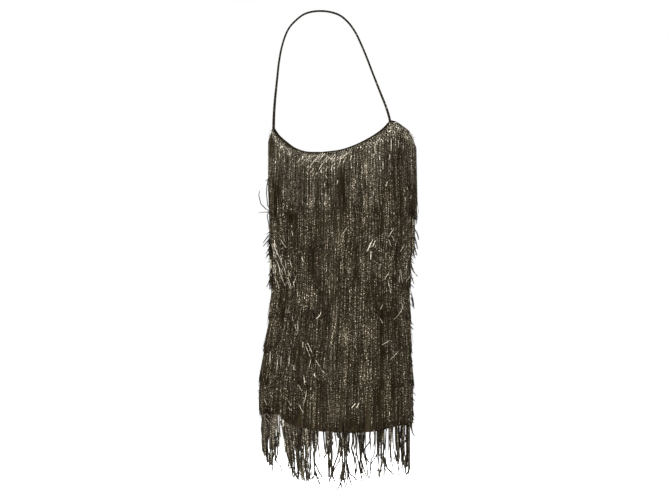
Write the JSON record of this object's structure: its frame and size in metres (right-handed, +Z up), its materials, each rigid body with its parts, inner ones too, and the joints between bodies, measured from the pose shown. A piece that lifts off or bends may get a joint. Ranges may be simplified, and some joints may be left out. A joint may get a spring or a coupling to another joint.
{
  "type": "fringe mini dress, worn and hollow, with no figure or stand",
  "caption": "Short tube dress in dark metallic knit with tiers of long fringe, a scooped front and one thin cord round the neck.",
  "frame": {"origin": "where the cord lies round the neck", "axes": "+Z up, -Y the wearer's front, +X the wearer's left"},
  "size_m": [0.335, 0.2449, 0.9666],
  "materials": {
    "knit": "dark bronze metallic knit",
    "binding": "dark folded binding",
    "cord": "twisted cord with metallic glints",
    "fringe": "fine metallic yarn"
  },
  "bodies": {
    "root": {"front_panel": "knit", "back_panel": "knit", "neckline_binding": "binding", "back_binding": "binding", "neck_strap": "cord", "fringe_edge": "fringe", "fringe_row_1": "fringe", "fringe_row_2": "fringe", "fringe_row_3": "fringe", "fringe_row_4": "fringe", "fringe_row_5": "fringe", "fringe_row_6": "fringe", "fringe_hem": "fringe"}
  },
  "joints": []
}
